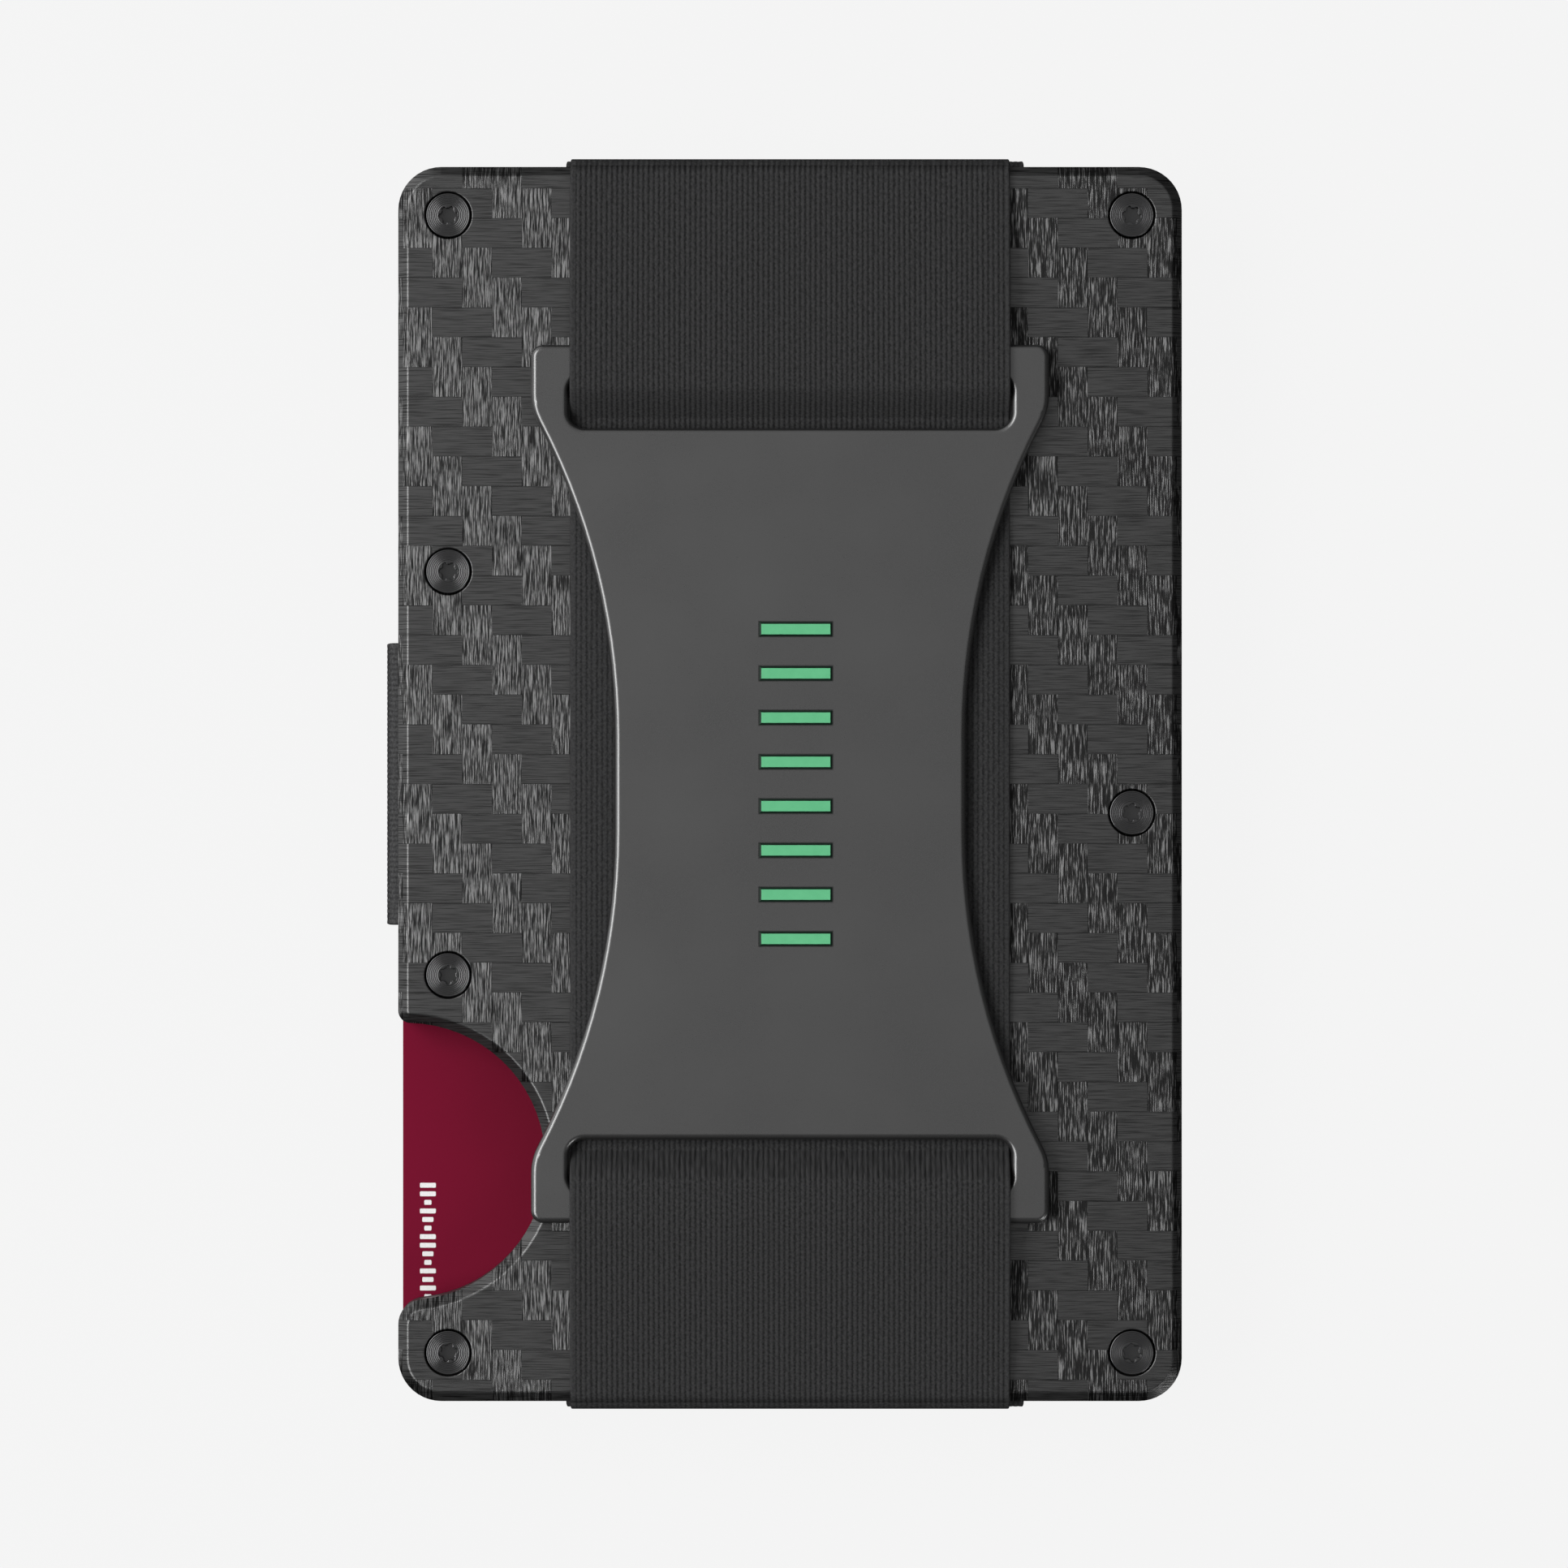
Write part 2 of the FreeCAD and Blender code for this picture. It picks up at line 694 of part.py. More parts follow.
def draw_side_cut(sketch):
    """One waisted side of the buckle: straight at the waist, then an arc out to each ear."""
    waist = size("buckle_waist_half_width")
    straight = size("buckle_waist_half_length")
    ear = size("buckle_half_width")
    radius = size("buckle_side_radius")
    centre_x = waist + radius
    outside = ear + size("buckle_corner_radius")
    ear_y = buckle_ear_start()
    end_angle = math.atan2(ear_y - straight.value, ear.value - centre_x.value)

    def add_arc(side, *angles):
        centre = Vector(centre_x.value, side * straight.value, 0)
        circle = Part.Circle(centre, Vector(0, 0, 1), radius.value)
        return sketch.addGeometry(Part.ArcOfCircle(circle, *angles), False)

    def add_line(x1, y1, x2, y2):
        return sketch.addGeometry(Part.LineSegment(Vector(x1, y1, 0), Vector(x2, y2, 0)), False)

    upper_arc = add_arc(1, end_angle, math.pi)
    waist_line = add_line(waist.value, straight.value, waist.value, -straight.value)
    lower_arc = add_arc(-1, -math.pi, -end_angle)
    lower_line = add_line(ear.value, -ear_y, outside.value, -ear_y)
    outside_line = add_line(outside.value, -ear_y, outside.value, ear_y)
    upper_line = add_line(outside.value, ear_y, ear.value, ear_y)
    loop = (upper_arc, waist_line, lower_arc, lower_line, outside_line, upper_line)
    for edge, following in zip(loop, loop[1:] + loop[:1]):
        sketch.addConstraint(Sketcher.Constraint("Coincident", edge, 2, following, 1))
    # An arc's first point is the one at its smaller angle: the ear for one, the waist for the other.
    for arc, side, ear_end, waist_end in ((upper_arc, 1, 1, 2), (lower_arc, -1, 2, 1)):
        pin_point(sketch, arc, 3, centre_x, straight * side)
        pin_radius(sketch, arc, radius)
        pin_coordinate(sketch, "DistanceX", arc, ear_end, ear)
        pin_coordinate(sketch, "DistanceY", arc, waist_end, straight * side)
    pin_coordinate(sketch, "DistanceX", outside_line, 1, outside)
    for line, kind in ((lower_line, "Horizontal"), (outside_line, "Vertical"), (upper_line, "Horizontal")):
        sketch.addConstraint(Sketcher.Constraint(kind, line))


def make_buckle_plate():
    """Waisted metal plate with a wide slot near each end and shallow recesses for the inlays."""
    body = new_body("buckle_plate")
    base = layer_heights["buckle"]
    top = layer_heights["buckle_top"]
    ear = size("buckle_half_width")
    reach = size("buckle_half_length")
    sketch = add_sketch(body, "outline", base)
    draw_rectangle(sketch, -ear, ear, -reach, reach)
    feature = pad(body, sketch, size("buckle_thickness"))
    sketch = add_sketch(body, "waist", top)
    draw_side_cut(sketch)
    side_cut = pocket(body, sketch, "waist_cut", size("buckle_thickness"))
    mirrored = body.newObject("PartDesign::Mirrored", f"{body.Label}_other_waist")
    mirrored.Originals = [side_cut]
    mirrored.MirrorPlane = (sketch, ["V_Axis"])
    body.Tip = mirrored
    doc.recompute()
    signs = [(x, y) for x in (-1, 1) for y in (-1, 1)]
    ears = [(x * ear.value, y * buckle_ear_start()) for x, y in signs]
    feature = round_corners(body, mirrored, ears, size("buckle_ear_blend_radius"), "ear_blends")
    tips = [(x * ear.value, y * reach.value) for x, y in signs]
    feature = round_corners(body, feature, tips, size("buckle_corner_radius"), "ear_corners")
    slot_width = size("buckle_slot_half_width")
    slot_inner = size("buckle_slot_inner")
    slot_outer = size("buckle_slot_outer")
    for side, name in ((1, "upper_slot"), (-1, "lower_slot")):
        sketch = add_sketch(body, name, top)
        near, far = slot_inner * side, slot_outer * side
        draw_rectangle(sketch, -slot_width, slot_width, near, far)
        feature = pocket(body, sketch, f"{name}_cut", size("buckle_thickness"))
        ends = [(x * slot_width.value, y) for x in (-1, 1) for y in (near.value, far.value)]
        radius = size("buckle_slot_corner_radius")
        feature = round_corners(body, feature, ends, radius, f"{name}_corners")
    for height, name in ((top, "top_edges"), (base, "bottom_edges")):
        edges = edges_at_height(feature.Shape, height.value)
        feature = dress(body, "Fillet", feature, edges, name, size("buckle_edge_radius"))
    sketch = add_sketch(body, "inlay_recess", top)
    half_x = total("inlay_half_width", "inlay_clearance")
    centre_y = size("inlay_column_half_length") - size("inlay_half_height")
    half_y = total("inlay_half_height", "inlay_clearance")
    shift = size("inlay_shift")
    first_y = -centre_y
    draw_rectangle(sketch, shift - half_x, shift + half_x, first_y - half_y, first_y + half_y)
    recess = pocket(body, sketch, "first_recess", size("inlay_recess_depth"))
    pattern = body.newObject("PartDesign::LinearPattern", f"{body.Label}_recesses")
    pattern.Originals = [recess]
    pattern.Direction = (sketch, ["V_Axis"])
    bind(pattern, "Length", centre_y * 2)
    bind(pattern, "Occurrences", size("inlay_count"))
    body.Tip = pattern
    doc.recompute()


def make_buckle_inlays():
    """A column of plain bars that fill the buckle's recesses and stand slightly proud."""
    blank = new_body("inlay_blank", is_sub_part=False)
    sketch = add_sketch(blank, "outline")
    half_x = size("inlay_half_width")
    half_y = size("inlay_half_height")
    draw_rectangle(sketch, -half_x, half_x, -half_y, half_y)
    thickness = total("inlay_recess_depth", "inlay_stand_out")
    feature = pad(blank, sketch, thickness)
    edges = edges_at_height(feature.Shape, thickness.value)
    dress(blank, "Chamfer", feature, edges, "bevel", size("inlay_bevel"))
    floor = (layer_heights["buckle_top"] - size("inlay_recess_depth")).value
    reach = (size("inlay_column_half_length") - size("inlay_half_height")).value
    count = int(size("inlay_count").value)
    pitch = 2 * reach / (count - 1)
    shift = size("inlay_shift").value
    places = [Vector(shift, -reach + pitch * i, floor) for i in range(count)]
    make_copies("buckle_inlays", blank, [Placement(place, Rotation()) for place in places])


# --- cards ----------------------------------------------------------------------------------------

def make_card(label):
    body = new_body(label)
    sketch = add_sketch(body, "outline", layer_heights[label])
    shift = size("card_left_shift")
    wide = size("card_half_width")
    long = size("card_half_length")
    left = -wide - shift
    right = wide - shift
    draw_rectangle(sketch, left, right, -long, long)
    feature = pad(body, sketch, size("card_thickness"))
    corners = [(x.value, y * long.value) for x in (left, right) for y in (-1, 1)]
    round_corners(body, feature, corners, size("card_corner_radius"))


# --- assembly -------------------------------------------------------------------------------------

halves = (
    ("back", size("back_spacer_thickness"), False, layer_heights["back_cover"]),
    ("front", size("front_spacer_thickness"), True, layer_heights["strap_gap"]),
)
for half, spacer_thickness, face_up, outer_height in halves:
    spacer_base = layer_heights[f"{half}_spacers"]
    make_cover(f"{half}_cover", face_up)
    make_right_spacer(f"{half}_right_spacer", spacer_base, spacer_thickness)
    make_left_spacer(f"{half}_upper_spacer", spacer_base, spacer_thickness, upper=True)
    make_left_spacer(f"{half}_lower_spacer", spacer_base, spacer_thickness, upper=False)
    make_liner(f"{half}_liner", card_side_up=not face_up)
    make_anchor(f"{half}_band_anchor", spacer_base, spacer_thickness)
    make_screws(f"{half}_screws", spacer_thickness, outer_height, face_up)
make_end_band()
make_side_band()
make_cash_strap()
make_buckle_plate()
make_buckle_inlays()
for card in ("card_bottom", "card_middle", "card_top"):
    make_card(card)
doc.recompute()

for item in doc.Objects:
    if "Invalid" in item.State or "Error" in item.State:
        raise RuntimeError(f"{item.Label} failed: {item.State}")
for item in sub_parts:
    if item.Shape.isNull() or not item.Shape.isValid():
        raise RuntimeError(f"{item.Label} has no valid shape")

os.makedirs("parts", exist_ok=True)
for item in sub_parts:
    item.Shape.exportStep(f"parts/{item.Label}.step")
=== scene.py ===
import math

import bpy
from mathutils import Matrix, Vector


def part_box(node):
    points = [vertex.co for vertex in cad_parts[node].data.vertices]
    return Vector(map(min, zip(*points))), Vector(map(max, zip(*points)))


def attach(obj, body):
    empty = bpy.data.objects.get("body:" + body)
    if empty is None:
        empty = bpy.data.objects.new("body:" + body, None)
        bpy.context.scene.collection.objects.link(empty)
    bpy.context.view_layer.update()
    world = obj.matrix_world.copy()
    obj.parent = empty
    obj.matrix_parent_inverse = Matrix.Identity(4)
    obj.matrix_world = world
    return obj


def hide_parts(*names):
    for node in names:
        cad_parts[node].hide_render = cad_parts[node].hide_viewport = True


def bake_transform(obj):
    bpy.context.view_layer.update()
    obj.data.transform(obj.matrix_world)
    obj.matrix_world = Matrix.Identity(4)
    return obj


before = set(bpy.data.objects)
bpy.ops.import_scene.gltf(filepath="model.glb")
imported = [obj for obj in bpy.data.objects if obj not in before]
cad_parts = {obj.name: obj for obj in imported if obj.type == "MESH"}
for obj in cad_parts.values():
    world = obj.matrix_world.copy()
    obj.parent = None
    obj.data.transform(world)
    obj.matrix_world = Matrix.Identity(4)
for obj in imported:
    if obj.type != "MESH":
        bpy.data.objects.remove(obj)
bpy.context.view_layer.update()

# Minimalist wallet. Lengths are in metres; MM turns the millimetres below into metres.
MM = 0.001

# --- sizes read from the frame ------------------------------------------------------------------

cover_low, cover_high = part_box("front_cover")
buckle_low, buckle_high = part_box("buckle_plate")
strap_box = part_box("cash_strap")
end_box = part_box("end_band")
side_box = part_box("side_band")
card_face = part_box("card_top")[1].z

# --- sizes of the threading and the weave -------------------------------------------------------

STRAP_THICKNESS = 0.5 * MM
STRAP_GAP = 0.05 * MM
STRAP_BEND = 0.6 * MM
COVER_EDGE_BEND = 0.3 * MM
HIDDEN_JOIN_INSET = 2.0 * MM
BAND_THICKNESS = 0.7 * MM
BAND_BEND = 0.5 * MM
PLATE_BEVEL = 0.65 * MM
SLOT_INNER = 24.7 * MM
SLOT_OUTER = 28.35 * MM
SLOT_CORNER_RELIEF = 0.75 * MM

# How far apart a band's rows of points are on its straight runs.
ROW_SPACING = 1.0 * MM
END_BAND_ROW_SPACING = 2.0 * MM
RIB_PITCH = 0.363 * MM
STRAP_RIB_DEPTH = 0.05 * MM
BAND_RIB_DEPTH = 0.02 * MM
SELVEDGE = 0.42 * MM

# The twill's cells, in millimetres, and the corner that they are counted from.
WEAVE_CELL = 2.0735
WEAVE_LEFT = -26.97
WEAVE_TOP = 41.47


def first_groove(half_width):
    """How far the outermost groove between ribs is from the band's middle."""
    return round((half_width - SELVEDGE) / RIB_PITCH) * RIB_PITCH


# --- materials ----------------------------------------------------------------------------------


class Shader:
    """A Principled material and short ways to feed it."""

    def __init__(self, name, **settings):
        self.material = bpy.data.materials.new(name)
        self.material.use_nodes = True
        self.tree = self.material.node_tree
        self.surface = self.tree.nodes["Principled BSDF"]
        self.set(**settings)

    def set(self, **settings):
        """Feed the shader's sockets: base_color=... is the socket Base Color."""
        sockets = {socket.name.lower().replace(" ", "_"): socket for socket in self.surface.inputs}
        for name, value in settings.items():
            self.feed(sockets[name], value)

    def feed(self, socket, value):
        if isinstance(value, bpy.types.NodeSocket):
            self.tree.links.new(value, socket)
        elif socket.type == "RGBA" and len(value) == 3:
            socket.default_value = (*value, 1)
        else:
            socket.default_value = value

    def node(self, kind, inputs, output=0, **settings):
        node = self.tree.nodes.new(kind)
        for name, value in settings.items():
            setattr(node, name, value)
        for key, value in inputs.items():
            self.feed(node.inputs[key], value)
        return node.outputs[output]

    def math(self, operation, *values):
        return self.node("ShaderNodeMath", dict(enumerate(values)), operation=operation)

    def add(self, a, b):
        return self.math("ADD", a, b)

    def times(self, a, b):
        return self.math("MULTIPLY", a, b)

    def span(self, value, low, high, new_low=0.0, new_high=1.0):
        """Map low..high to new_low..new_high, and stay there outside."""
        inputs = {0: value, 1: low, 2: high, 3: new_low, 4: new_high}
        return self.node("ShaderNodeMapRange", inputs, clamp=True)

    def blend(self, factor, a, b):
        return self.node("ShaderNodeMix", {0: factor, 2: a, 3: b}, data_type="FLOAT")

    def blend_colors(self, factor, a, b):
        return self.node("ShaderNodeMix", {0: factor, 6: a, 7: b}, output=2, data_type="RGBA")

    def vector(self, x, y, z=0.0):
        return self.node("ShaderNodeCombineXYZ", {0: x, 1: y, 2: z})

    def grey(self, value):
        return self.node("ShaderNodeCombineColor", {0: value, 1: value, 2: value})

    def place(self):
        """Where the surface point is in its object, in millimetres: the vector, then x, y, z."""
        coordinates = self.node("ShaderNodeTexCoord", {}, output=3)
        inputs = {0: coordinates, 3: 1 / MM}
        scaled = self.node("ShaderNodeVectorMath", inputs, operation="SCALE")
        split = self.tree.nodes.new("ShaderNodeSeparateXYZ")
        self.tree.links.new(scaled, split.inputs[0])
        return scaled, *split.outputs

    def noise(self, vector, scale=1.0, detail=2.0, roughness=0.5):
        inputs = {"Vector": vector, "Scale": scale, "Detail": detail, "Roughness": roughness}
        return self.node("ShaderNodeTexNoise", inputs)

    def sway(self, vector, reach):
        """Noise that swings to both sides of zero by about the given reach."""
        return self.times(self.add(self.noise(vector), -0.5), 2 * reach)

    def bump(self, height, depth):
        """A bump whose height runs from 0 to 1 over a depth in metres."""
        self.set(normal=self.node("ShaderNodeBump", {"Height": height, "Distance": depth}))

    def facing_up(self):
        """How far the surface faces up or down: 1 level, 0 upright."""
        geometry = self.tree.nodes.new("ShaderNodeNewGeometry")
        split = self.tree.nodes.new("ShaderNodeSeparateXYZ")
        self.tree.links.new(geometry.outputs["True Normal"], split.inputs[0])
        return self.math("ABSOLUTE", split.outputs[2])


def carbon_twill():
    """2/2 twill: two cells over, two under, stepping one cell a row. Warp runs along Y.
    Fibres gleam across their own length, so each tow's light depends on the way it lies."""
    s = Shader("carbon_twill", metallic=0.9)
    _, x, y, z = s.place()
    u = s.times(s.add(x, -WEAVE_LEFT), 1 / WEAVE_CELL)
    v = s.times(s.add(y, -WEAVE_TOP), -1 / WEAVE_CELL)
    # Each tow's edge is a little ragged, where single fibres stray.
    ragged_u = s.add(u, s.sway(s.vector(s.times(x, 0.7), s.times(y, 8.0)), 0.02))
    ragged_v = s.add(v, s.sway(s.vector(s.times(x, 8.0), s.times(y, 0.7)), 0.02))
    step = s.math("SUBTRACT", s.math("FLOOR", ragged_v), s.math("FLOOR", ragged_u))
    is_warp = s.math("LESS_THAN", s.math("FLOORED_MODULO", step, 4.0), 1.5)

    # Fibres on top of a warp tow. The warp has a brighter, streakier base colour than the weft of
    # the same fibre: painted sheen of the key light, on top of the shader's own gleam.
    strayed = s.add(x, s.sway(s.vector(s.times(x, 1.3), s.times(y, 0.9)), 0.03))
    fibres = s.noise(s.vector(s.times(strayed, 14.0), s.times(y, 0.6)), detail=1.0)
    breaks = s.sway(s.vector(s.times(x, 9.0), s.times(y, 2.0), 5.0), 0.17)
    warp_light = s.span(s.add(fibres, breaks), 0.36, 0.63)
    # Toward the right the warp's streaks are painted fewer and dimmer: painted shade where less
    # sheen shows.
    painted_sheen_falloff = s.span(x, -20.0, 20.0, 2.0, 4.2)
    warp = s.span(s.math("POWER", warp_light, painted_sheen_falloff), 0.0, 1.0, 0.013, 0.178)

    weft_lines = s.noise(s.vector(s.times(x, 0.4), s.times(y, 15.0), 9.0), detail=2.0)
    weft_light = s.span(weft_lines, 0.34, 0.54)
    weft = s.span(weft_light, 0.0, 1.0, 0.045, 0.094)

    def to_edge(coordinate):
        part = s.math("FRACT", coordinate)
        return s.math("MINIMUM", part, s.math("SUBTRACT", 1.0, part))

    # A tow is dark along its own two sides.
    side = s.blend(is_warp, to_edge(ragged_v), to_edge(ragged_u))
    weave = s.times(s.blend(is_warp, weft, warp), s.span(side, 0.0, 0.035, 0.45, 1.0))
    # On the bevels the weave is painted darker in streaks along the weft lines: painted shade.
    bevel_painted_shade = s.span(weft_lines, 0.38, 0.48, 0.4, 1.0)
    weave = s.times(weave, s.blend(s.span(s.facing_up(), 0.75, 0.95), bevel_painted_shade, 1.0))

    plies = s.noise(s.vector(s.times(x, 0.3), s.times(y, 0.3), s.times(z, 9.0)), detail=3.0)
    edge = s.span(plies, 0.35, 0.65, 0.04, 0.12)
    level = s.span(s.facing_up(), 0.3, 0.5)
    s.set(base_color=s.grey(s.blend(level, edge, weave)))

    s.set(tangent=s.vector(is_warp, s.math("SUBTRACT", 1.0, is_warp)))
    s.set(roughness=s.blend(is_warp, 0.35, 0.4), anisotropic=s.blend(is_warp, 0.3, 0.85))
    relief = s.blend(is_warp, weft_light, warp_light)
    crown = s.span(side, 0.0, 0.3)
    s.bump(s.add(s.times(relief, 0.5), s.times(crown, 0.5)), 0.01 * MM)
    return s.material


def satin_metal(name, color, roughness):
    """Coated or blasted metal: fine even grain, and slow changes of tone."""
    s = Shader(name, metallic=0.9)
    point = s.place()[0]
    grit = s.noise(point, 14.0)
    cloud = s.noise(point, 0.12)
    tone = s.span(s.add(s.times(grit, 0.6), s.times(cloud, 0.4)), 0.35, 0.65)
    dark = tuple(channel * 0.93 for channel in color)
    s.set(base_color=s.blend_colors(tone, dark, color))
    s.set(roughness=s.span(tone, 0.0, 1.0, roughness - 0.03, roughness + 0.03))
    s.bump(grit, 0.0012 * MM)
    return s.material


def turned_steel():
    """Dark screw heads, with the finest of the turning marks between the modelled rings."""
    s = Shader("turned_dark_steel", metallic=0.9)
    point, x, y, _ = s.place()
    radius = s.math("SQRT", s.add(s.times(x, x), s.times(y, y)))
    rings = s.noise(s.vector(s.times(radius, 16.0), 0.0), detail=2.0)
    dust = s.noise(point, 6.0)
    face = s.blend_colors(rings, (0.054, 0.054, 0.055), (0.075, 0.075, 0.076))
    # Faces that are not level, the recess's walls and the head's rounded rim, are painted near
    # black: painted shade in the recess and the gap round the head.
    level = s.span(s.facing_up(), 0.5, 0.7)
    s.set(base_color=s.blend_colors(level, (0.025, 0.025, 0.025), face))
    s.set(roughness=s.span(dust, 0.3, 0.7, 0.18, 0.24))
    s.bump(rings, 0.002 * MM)
    return s.material


def knitted_elastic(name, across_axis, box, light, groove_shade):
    """Black elastic: ribs along the length, knitted stitches on each rib, plain selvedges.
    Near the loop's ends, faces that are not level are painted darker in a speckled pattern, with a
    few spots a little lighter: painted shade with small painted highlights on the bends."""
    s = Shader(name, roughness=0.85, specular_ior_level=0.2)
    point, x, y, z = s.place()
    if across_axis == "x":
        across, along, low, high = x, s.add(y, z), box[0].x, box[1].x
        from_loop_end = s.math("SUBTRACT", box[1].y / MM, s.math("ABSOLUTE", y))
    else:
        across, along, low, high = y, s.add(x, z), box[0].y, box[1].y
        from_loop_end = s.add(x, -box[0].x / MM)
    middle, half_width = (low + high) / 2, (high - low) / 2
    from_middle = s.add(across, -middle / MM)
    from_edge = s.math("SUBTRACT", half_width / MM, s.math("ABSOLUTE", from_middle))
    ribbed = s.span(from_edge, (SELVEDGE - 0.1 * MM) / MM, SELVEDGE / MM)
    beads = s.sway(s.vector(s.times(across, 2.8), s.times(along, 7.0)), 0.36)
    gaps = s.noise(s.vector(s.times(across, 2.8), s.times(along, 4.5), 7.0), detail=1.0)
    from_groove = s.add(from_middle, first_groove(half_width) / MM)
    phase = s.add(s.times(from_groove, MM / RIB_PITCH), beads)
    wave = s.math("COSINE", s.times(phase, 2 * math.pi))
    groove = s.times(s.span(wave, -0.3, 0.9), s.times(ribbed, s.span(gaps, 0.35, 0.6, 0.45, 1.0)))
    stitches = s.noise(s.vector(s.times(across, 5.0), s.times(along, 5.0), 3.0), detail=2.0)
    fuzz = s.noise(point, 11.0, detail=3.0, roughness=0.7)
    # The grooves between the ribs are painted darker: painted shade.
    tone = s.times(s.span(groove, 0.0, 1.0, 1.0, groove_shade),
                   s.span(stitches, 0.35, 0.6, 0.56, 1.0))
    tone = s.times(tone, s.span(fuzz, 0.3, 0.7, 0.85, 1.1))
    # Painted shade on the bends: faces that are not level near a loop's end are darkened in spots,
    # a few made a little lighter.
    speckled_painted_shade = s.span(s.noise(point, 7.0, detail=1.0), 0.5, 0.68, 0.15, 1.2)
    level = s.span(s.facing_up(), 0.5, 0.85)
    outside_painted_shade = s.math("MAXIMUM", level, s.span(from_loop_end, 1.2, 1.6))
    tone = s.times(tone, s.blend(outside_painted_shade, speckled_painted_shade, 1.0))
    dark = (0.004, 0.004, 0.0043)
    s.set(base_color=s.blend_colors(tone, dark, (light, light, light * 1.02)))
    s.bump(s.add(s.times(stitches, 0.6), s.times(fuzz, 0.4)), 0.04 * MM)
    return s.material


def moulded_sheet():
    """Matt black sheet with a fine pebbled face."""
    s = Shader("spacer_sheet", roughness=0.6)
    point = s.place()[0]
    pebbles = s.noise(point, 5.0, detail=3.0)
    s.set(base_color=s.blend_colors(pebbles, (0.014, 0.014, 0.015), (0.03, 0.03, 0.032)))
    s.bump(pebbles, 0.01 * MM)
    return s.material


def enamel():
    """Green enamel: slight cloudiness under a satin skin, and bevels painted near black: painted
    shade.
    """
    s = Shader("green_enamel", roughness=0.3)
    point = s.place()[0]
    cloud = s.noise(point, 1.6, detail=3.0)
    green = s.blend_colors(cloud, (0.085, 0.4, 0.185), (0.115, 0.47, 0.225))
    # The bevels are painted near black: painted shade.
    bevel = (0.004, 0.016, 0.009)
    s.set(base_color=s.blend_colors(s.span(s.facing_up(), 0.75, 0.95), bevel, green))
    s.bump(s.noise(point, 7.0), 0.002 * MM)
    return s.material


def card_laminate(name, left_face, right_face):
    """Printed plastic card: fine print grain, a paler core along its edge, a satin face."""
    s = Shader(name, roughness=0.5, specular_ior_level=0.07)
    point, x, _, _ = s.place()
    # The face is painted darker from left to right: painted shade across the notch, alike on every
    # card. The print grain lies on top of it.
    face = s.blend_colors(s.span(x, -27.0, -17.0), left_face, right_face)
    grain = s.span(s.noise(point, 10.0, detail=1.0), 0.3, 0.7, 0.0, 0.12)
    printed = s.blend_colors(grain, face, tuple(0.8 * channel for channel in right_face))
    core = tuple(0.35 * channel + 0.02 for channel in left_face)
    s.set(base_color=s.blend_colors(s.span(s.facing_up(), 0.4, 0.6), core, printed))
    s.bump(s.noise(point, 3.0, detail=3.0), 0.002 * MM)
    return s.material


def pale_ink():
    """Slightly worn pale print."""
    s = Shader("pale_ink", roughness=0.5)
    point = s.place()[0]
    wear = s.noise(point, 8.0, detail=3.0)
    s.set(base_color=s.blend_colors(wear, (0.62, 0.6, 0.6), (0.86, 0.85, 0.85)))
    s.bump(wear, 0.003 * MM)
    return s.material


carbon = carbon_twill()
spacer_sheet = moulded_sheet()
black_anodised = satin_metal("black_anodised", (0.06, 0.06, 0.063), 0.45)
bare_steel = satin_metal("bare_steel", (0.45, 0.45, 0.46), 0.35)
buckle_metal = satin_metal("buckle_metal", (0.125, 0.125, 0.125), 0.3)
screw_steel = turned_steel()
strap_fabric = knitted_elastic("strap_fabric", "x", strap_box, 0.034, 0.2)
end_fabric = knitted_elastic("end_band_fabric", "x", end_box, 0.034, 0.2)
side_fabric = knitted_elastic("side_band_fabric", "y", side_box, 0.057, 0.5)
green_enamel = enamel()
card_red = card_laminate("card_red", (0.152, 0.002, 0.02), (0.122, 0.002, 0.015))
card_blue = card_laminate("card_blue", (0.02, 0.06, 0.16), (0.015, 0.045, 0.13))
card_grey = card_laminate("card_grey", (0.3, 0.32, 0.35), (0.25, 0.27, 0.3))
ink = pale_ink()

CAD_MATERIALS = {
    "cover": carbon,
    "spacer": spacer_sheet,
    "liner": black_anodised,
    "anchor": bare_steel,
    "buckle_plate": buckle_metal,
    "buckle_inlays": green_enamel,
    "card_top": card_red,
    "card_middle": card_blue,
    "card_bottom": card_grey,
}

for node_name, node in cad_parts.items():
    for part, material in CAD_MATERIALS.items():
        if part in node_name:
            node.data.materials.clear()
            node.data.materials.append(material)

# --- mesh helpers -------------------------------------------------------------------------------


def new_piece(name, vertices, faces, material, smooth=True):
    """A linked object with the given material."""
    mesh = bpy.data.meshes.new(name)
    mesh.from_pydata(vertices, [], faces)
    mesh.materials.append(material)
    for polygon in mesh.polygons:
        polygon.use_smooth = smooth
    piece = bpy.data.objects.new(name, mesh)
    bpy.context.scene.collection.objects.link(piece)
    return piece


def turned(spoke, angle):
    """A vector in a plane, turned anticlockwise."""
    c, s = math.cos(angle), math.sin(angle)
    return Vector((c * spoke.x - s * spoke.y, s * spoke.x + c * spoke.y))


def rounded_corner(before_corner, corner, after_corner, radius):
    """The points of the arc that rounds one corner of a path."""
    before = (corner - before_corner).normalized()
    after = (after_corner - corner).normalized()
    turn = math.atan2(before.cross(after), before.dot(after))
    side = math.copysign(1, turn)
    start = corner - before * radius * math.tan(abs(turn) / 2)
    centre = start + Vector((-before.y, before.x)) * radius * side
    steps = max(2, math.ceil(abs(turn) / math.radians(12)))
    return [centre + turned(start - centre, turn * k / steps) for k in range(steps + 1)]


